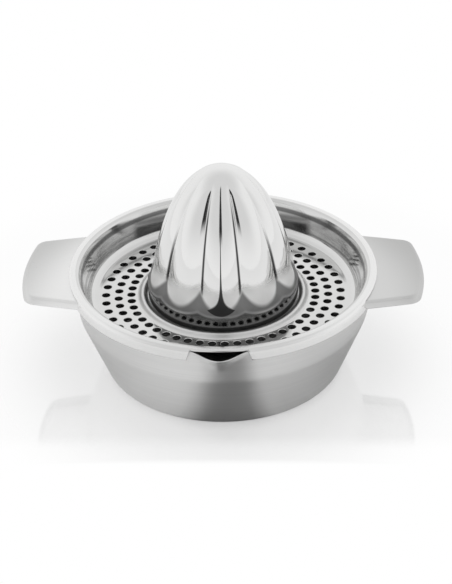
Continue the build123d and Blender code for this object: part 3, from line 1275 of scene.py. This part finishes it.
@dataclass(frozen=True)
class Studio:
    """White table, a light tent, a softbox overhead and the photograph's camera.

    The steel alone sees grey panels and a dark strip in the tent, and bands of shade on the table.
    """

    aim: tuple[float, float, float] = (0.0, 0.0, 0.040)
    camera_azimuth: float = 2.0
    camera_elevation: float = 31.88
    camera_distance: float = 0.7915
    focal_pixels: float = 1620.7
    centre_offset: Span = (2.76, 5.46)
    roll: float = -1.21
    sensor: float = 36.0
    table_half_size: float = 3.0
    table_tone: Tone = grey(0.82)
    front_glow: float = 0.73
    side_glow: float = 0.91
    front_panel_end: Span = (45.0, 100.0)
    top_panel_foot: Span = (25.0, 70.0)
    front_panel_foot: Span = (-2.0, 24.0)
    strip_edge: Span = (5.5, 9.5)
    strip_foot: Span = (12.0, 24.0)
    strip_top: Span = (72.0, 82.0)
    strip_dark: float = 0.96
    near_white_share: float = 0.55
    white_reach: Span = (0.072, 0.13)
    white_front: Span = (-0.090, -0.078)
    table_gloss: float = 0.18
    gloss_roughness: float = 0.06
    gloss_end: Span = (-0.078, -0.066)
    gloss_reach: Span = (0.15, 0.20)
    front_shade: float = 0.80
    front_shade_edge: Span = (0.010, 0.032)
    front_shade_reach: Span = (0.30, 0.50)
    front_shade_lean: float = 0.12
    front_shade_start: float = -0.0032
    side_shade: float = 0.30
    side_shade_edge: Span = (0.045, 0.085)
    right_shade: float = 0.28
    right_shade_edge: Span = (-0.020, 0.040)
    side_shade_reach: Span = (0.080, 0.125)
    softboxes: tuple[Softbox, ...] = (
        Softbox("overhead_softbox", 180.0, 80.0, 1.1, 1.0, 0.8, 0.35),
    )

    def build_camera(self) -> None:
        """Camera at the photograph's angle, with its roll and framing."""
        way = direction(self.camera_azimuth, self.camera_elevation)
        data = bpy.data.cameras.new("photo_camera")
        data.sensor_width = self.sensor
        data.lens = self.focal_pixels / IMAGE_HEIGHT * self.sensor
        data.shift_x = self.centre_offset[0] / IMAGE_HEIGHT
        data.shift_y = -self.centre_offset[1] / IMAGE_HEIGHT
        camera = bpy.data.objects.new("photo_camera", data)
        turned = (-way).to_track_quat("-Z", "Y").to_matrix().to_4x4()
        rolled = Matrix.Rotation(np.radians(self.roll), 4, "Z")
        place = Matrix.Translation(Vector(self.aim) + way * self.camera_distance)
        camera.matrix_world = place @ turned @ rolled
        bpy.context.scene.collection.objects.link(camera)
        bpy.context.scene.camera = camera

    def build_table(self) -> None:
        """Flat square table under the juicer."""
        reach = self.table_half_size
        corners = [(-reach, -reach, 0), (reach, -reach, 0), (reach, reach, 0), (-reach, reach, 0)]
        mesh = bpy.data.meshes.new("table")
        mesh.from_pydata(corners, [], [(0, 1, 2, 3)])
        table = bpy.data.objects.new("table", mesh)
        bpy.context.scene.collection.objects.link(table)
        mesh.materials.append(self.table_white())

    def table_white(self) -> bpy.types.Material:
        """White of the table, with a faint gloss round the juicer, where it keeps the soft shadow."""
        material = bpy.data.materials.new("table_white")
        graph = Graph(material)
        path = graph.node("LightPath")
        seen = graph.out(path, "Is Camera Ray").most(graph.out(path, "Is Transmission Ray"))
        place = graph.node("SeparateXYZ", None, Vector=graph.out(graph.node("TexCoord"), "Object"))
        x, y = graph.out(place, "X"), graph.out(place, "Y")
        away = graph.math("SQRT", x * x + y * y)
        shade = self.table_shade(x, y, away) * graph.out(path, "Is Glossy Ray")
        matt = graph.out(graph.node("BsdfDiffuse", None, Color=graph.mix(shade, self.table_tone, BLACK)))
        white = graph.out(graph.node("Emission", None, Color=WHITE, Strength=1.0))
        gloss = graph.out(graph.node("BsdfGlossy", None, Color=WHITE, Roughness=self.gloss_roughness))
        clear = away.ramp(*self.white_reach, self.near_white_share, 1.0)
        clear = clear.most(y.fall(*self.white_front))
        lit = graph.out(graph.node("MixShader", None, in_0=seen * clear, in_1=matt, in_2=white))
        near = y.ramp(*self.gloss_end) * away.fall(*self.gloss_reach)
        shiny = graph.node("MixShader", None, in_0=seen * near * self.table_gloss, in_1=lit, in_2=gloss)
        graph.node("OutputMaterial", None, Surface=graph.out(shiny))
        return material

    def table_shade(self, x: Wire, y: Wire, away: Wire) -> Wire:
        """Share of shade that the steel sees on the table: a band in front of the spout, and both sides.

        Args:
            x: distance to the right.
            y: distance towards the back.
            away: distance from the juicer's axis.

        Returns:
            The share, 0 where the table is white.
        """
        from_band = abs(x + y * self.front_shade_lean - self.front_shade_start)
        front = from_band.fall(*self.front_shade_edge, self.front_shade)
        front = front * away.fall(*self.front_shade_reach) * (y < 0.0)
        side = abs(x).ramp(*self.side_shade_edge, 0.0, self.side_shade)
        side = side + x.ramp(*self.right_shade_edge, 0.0, self.right_shade)
        return front.most(side * away.fall(*self.side_shade_reach))

    def build_world(self) -> None:
        """Light tent, white all round; the steel sees grey panels in front and overhead, and a dark strip."""
        world = bpy.data.worlds.new("studio_room")
        bpy.context.scene.world = world
        graph = Graph(world)
        path = graph.node("LightPath")
        way = graph.node("SeparateXYZ", None, Vector=graph.out(graph.node("TexCoord"), "Generated"))
        x, y, z = (graph.out(way, axis) for axis in "XYZ")
        around = graph.math("DEGREES", abs(graph.math("ARCTAN2", x, 0.0 - y)))
        above = graph.math("DEGREES", graph.math("ARCSINE", z))
        front = around.fall(*self.front_panel_end) * above.ramp(*self.front_panel_foot)
        panel = front.most(above.ramp(*self.top_panel_foot))
        tent = self.side_glow + panel * (self.front_glow - self.side_glow)
        strip = around.fall(*self.strip_edge, self.strip_dark)
        strip = strip * above.ramp(*self.strip_foot) * above.fall(*self.strip_top)
        level = 1.0 + graph.out(path, "Is Glossy Ray") * (tent * (1.0 - strip) - 1.0)
        background = graph.node("Background", None, Color=WHITE, Strength=level)
        graph.node("OutputWorld", None, Surface=graph.out(background))

    def build(self) -> None:
        """Build the whole studio."""
        self.build_camera()
        self.build_table()
        self.build_world()
        for softbox in self.softboxes:
            softbox.build(Vector(self.aim))
        bpy.context.scene.view_settings.view_transform = "Standard"


def main() -> None:
    """Build the juicer piece by piece and set it in the studio."""
    logging.basicConfig(level=logging.INFO, format="%(name)s %(message)s")
    bowl = JuiceBowl()
    # The bowl's inside is painted dark grey: painted shade inside the covered bowl.
    painted_dark = SatinSteel("bowl_inside_painted_shade_satin", grey(0.26), grey(0.34), roughness=0.45, anisotropy=0.0)
    bowl.build(SatinSteel("bowl_satin"), painted_dark)
    # Painted light and shade: the left handle is painted paler as lit, the right one darker as shaded.
    handle_lit_and_shaded_tones = {
        Side.LEFT: (steel_tone(0.62), steel_tone(0.90)),
        Side.RIGHT: (steel_tone(0.54), steel_tone(0.72)),
    }
    for side in Side:
        Handle(side, bowl).build(HandleSteel(f"{side.name.lower()}_handle_satin", *handle_lit_and_shaded_tones[side]))
    StrainerDish().build(DishSteel("dish_polish"), RimSteel("rim_satin"))
    cone = ReamerCone()
    cone.build(ReamerSteel("cone_polish", lobes=cone.lobes))
    Studio().build()


if __name__ == "__main__":
    main()
